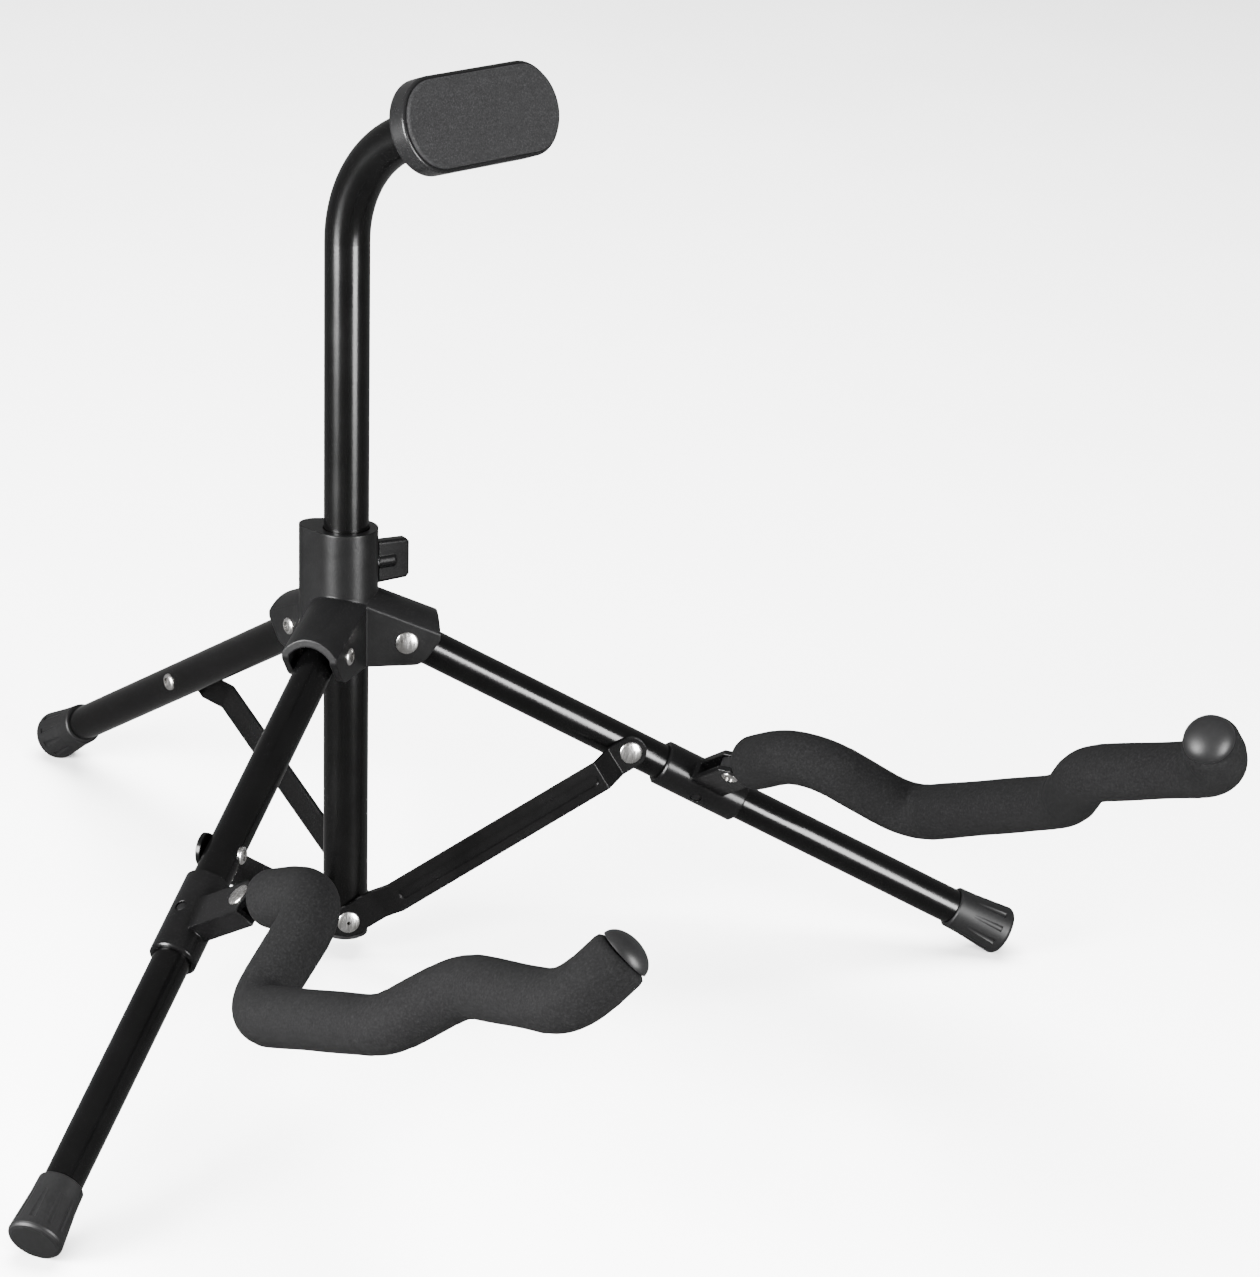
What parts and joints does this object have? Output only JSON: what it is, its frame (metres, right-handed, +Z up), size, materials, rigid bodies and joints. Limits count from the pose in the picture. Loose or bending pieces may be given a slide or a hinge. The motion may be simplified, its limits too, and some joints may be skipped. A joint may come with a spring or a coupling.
{
  "type": "folding guitar stand",
  "caption": "Black folding tripod guitar stand with a bent mast, padded head rest and foam-covered cradle arms hinged on its front legs.",
  "frame": {"origin": "centre of the footprint of the whole stand on the floor, stand open", "axes": "+Z up; -Y is the front, where the cradle arms reach out; +X is the right-hand side seen from the front"},
  "size_m": [0.5182, 0.5936, 0.401],
  "materials": {
    "nickel_rivet": "bright nickel plate, lightly brushed",
    "black_screw": "black oxide",
    "screw_steel": "zinc plated thread",
    "gloss_nylon": "gloss black moulding",
    "hub_nylon": "satin black glass-filled nylon",
    "sleeve_nylon": "semi-gloss black nylon",
    "black_powder_coat": "gloss black powder coat",
    "black_strip_steel": "satin black powder coat on pressed strip",
    "black_plug": "matte black",
    "cap_rubber": "matte black, slightly dusty",
    "foam": "matte charcoal closed-cell foam, fine grain",
    "arm_cap_nylon": "satin black dome",
    "rod_steel": "black coated rod",
    "plate_nylon": "semi-gloss black nylon",
    "pad_rubber": "black rubber with a fine speckled grain"
  },
  "bodies": {
    "hub": {"hub": "hub_nylon", "hub_rivet_left": "nickel_rivet", "hub_rivet_right": "nickel_rivet", "hub_rivet_rear": "nickel_rivet"},
    "mast": {"mast_tube": "black_powder_coat", "mast_plug": "black_plug", "head_socket": "black_powder_coat", "head_screw": "nickel_rivet", "head_plate": "plate_nylon", "head_pad": "pad_rubber", "mast_rivet_left": "nickel_rivet", "mast_rivet_right": "nickel_rivet", "mast_rivet_rear": "nickel_rivet"},
    "clamp": {"clamp_stud": "screw_steel", "clamp_wing": "gloss_nylon"},
    "leg_left": {"leg_tube_left": "black_powder_coat", "leg_plug_left": "black_plug", "foot_cap_left": "cap_rubber", "brace_rivet_tail_left": "nickel_rivet", "arm_sleeve_left": "sleeve_nylon", "sleeve_screw_left": "black_screw", "arm_rivet_left": "nickel_rivet"},
    "brace_left": {"brace_left": "black_strip_steel", "brace_rivet_head_left": "nickel_rivet"},
    "leg_right": {"leg_tube_right": "black_powder_coat", "leg_plug_right": "black_plug", "foot_cap_right": "cap_rubber", "brace_rivet_tail_right": "nickel_rivet", "arm_sleeve_right": "sleeve_nylon", "sleeve_screw_right": "black_screw", "arm_rivet_right": "nickel_rivet"},
    "brace_right": {"brace_right": "black_strip_steel", "brace_rivet_head_right": "nickel_rivet"},
    "leg_rear": {"leg_tube_rear": "black_powder_coat", "leg_plug_rear": "black_plug", "foot_cap_rear": "cap_rubber", "brace_rivet_tail_rear": "nickel_rivet"},
    "brace_rear": {"brace_rear": "black_strip_steel", "brace_rivet_head_rear": "nickel_rivet"},
    "arm_left": {"arm_rod_left": "rod_steel", "arm_foam_left": "foam", "arm_cap_left": "arm_cap_nylon"},
    "arm_right": {"arm_rod_right": "rod_steel", "arm_foam_right": "foam", "arm_cap_right": "arm_cap_nylon"}
  },
  "joints": [
    {"name": "mast_slide", "type": "slide", "parent": "hub", "child": "mast", "axis": [0, -0.1011, -0.9949], "range_m": [0, 0.1233]},
    {"name": "clamp_turn", "type": "hinge", "parent": "hub", "child": "clamp", "pos_m": [0.0198, 0.07841, 0.1737], "axis": [0.9903, -0.1385, 0.0141], "range_deg": [0, 360]},
    {"name": "leg_left_fold", "type": "hinge", "parent": "hub", "child": "leg_left", "pos_m": [-0.021, 0.06599, 0.14381], "axis": [0.5, -0.8616, 0.0875], "range_deg": [0, 58.95]},
    {"name": "leg_right_fold", "type": "hinge", "parent": "hub", "child": "leg_right", "pos_m": [0.021, 0.06599, 0.14381], "axis": [0.5, 0.8616, -0.0875], "range_deg": [0, 58.95]},
    {"name": "leg_rear_fold", "type": "hinge", "parent": "hub", "child": "leg_rear", "pos_m": [0, 0.10218, 0.14013], "axis": [-1, 0, 0], "range_deg": [0, 58.95]},
    {"name": "brace_left_fold", "type": "hinge", "parent": "mast", "child": "brace_left", "pos_m": [0, 0.06536, 0.01762], "axis": [-0.5, 0.8616, -0.0875], "range_deg": [0, 47.96]},
    {"name": "brace_right_fold", "type": "hinge", "parent": "mast", "child": "brace_right", "pos_m": [0, 0.06536, 0.01762], "axis": [-0.5, -0.8616, 0.0875], "range_deg": [0, 47.96]},
    {"name": "brace_rear_fold", "type": "hinge", "parent": "mast", "child": "brace_rear", "pos_m": [0, 0.06536, 0.01762], "axis": [1, 0, 0], "range_deg": [0, 47.96]},
    {"name": "arm_left_fold", "type": "hinge", "parent": "leg_left", "child": "arm_left", "pos_m": [-0.12627, -0.03272, 0.09813], "axis": [-0.6265, 0.3446, 0.6991], "range_deg": [0, 97.15]},
    {"name": "arm_right_fold", "type": "hinge", "parent": "leg_right", "child": "arm_right", "pos_m": [0.12627, -0.03272, 0.09813], "axis": [-0.6265, -0.3446, -0.6991], "range_deg": [0, 92.55]}
  ],
  "couplings": [
    {"joint": "leg_left_fold", "follows": "mast_slide", "rad_per_m": 8.3373},
    {"joint": "leg_right_fold", "follows": "mast_slide", "rad_per_m": 8.3373},
    {"joint": "leg_rear_fold", "follows": "mast_slide", "rad_per_m": 8.3373},
    {"joint": "brace_left_fold", "follows": "mast_slide", "rad_per_m": 6.7814},
    {"joint": "brace_right_fold", "follows": "mast_slide", "rad_per_m": 6.7814},
    {"joint": "brace_rear_fold", "follows": "mast_slide", "rad_per_m": 6.7814},
    {"joint": "arm_left_fold", "follows": "mast_slide", "rad_per_m": 13.745},
    {"joint": "arm_right_fold", "follows": "mast_slide", "rad_per_m": 13.094}
  ]
}
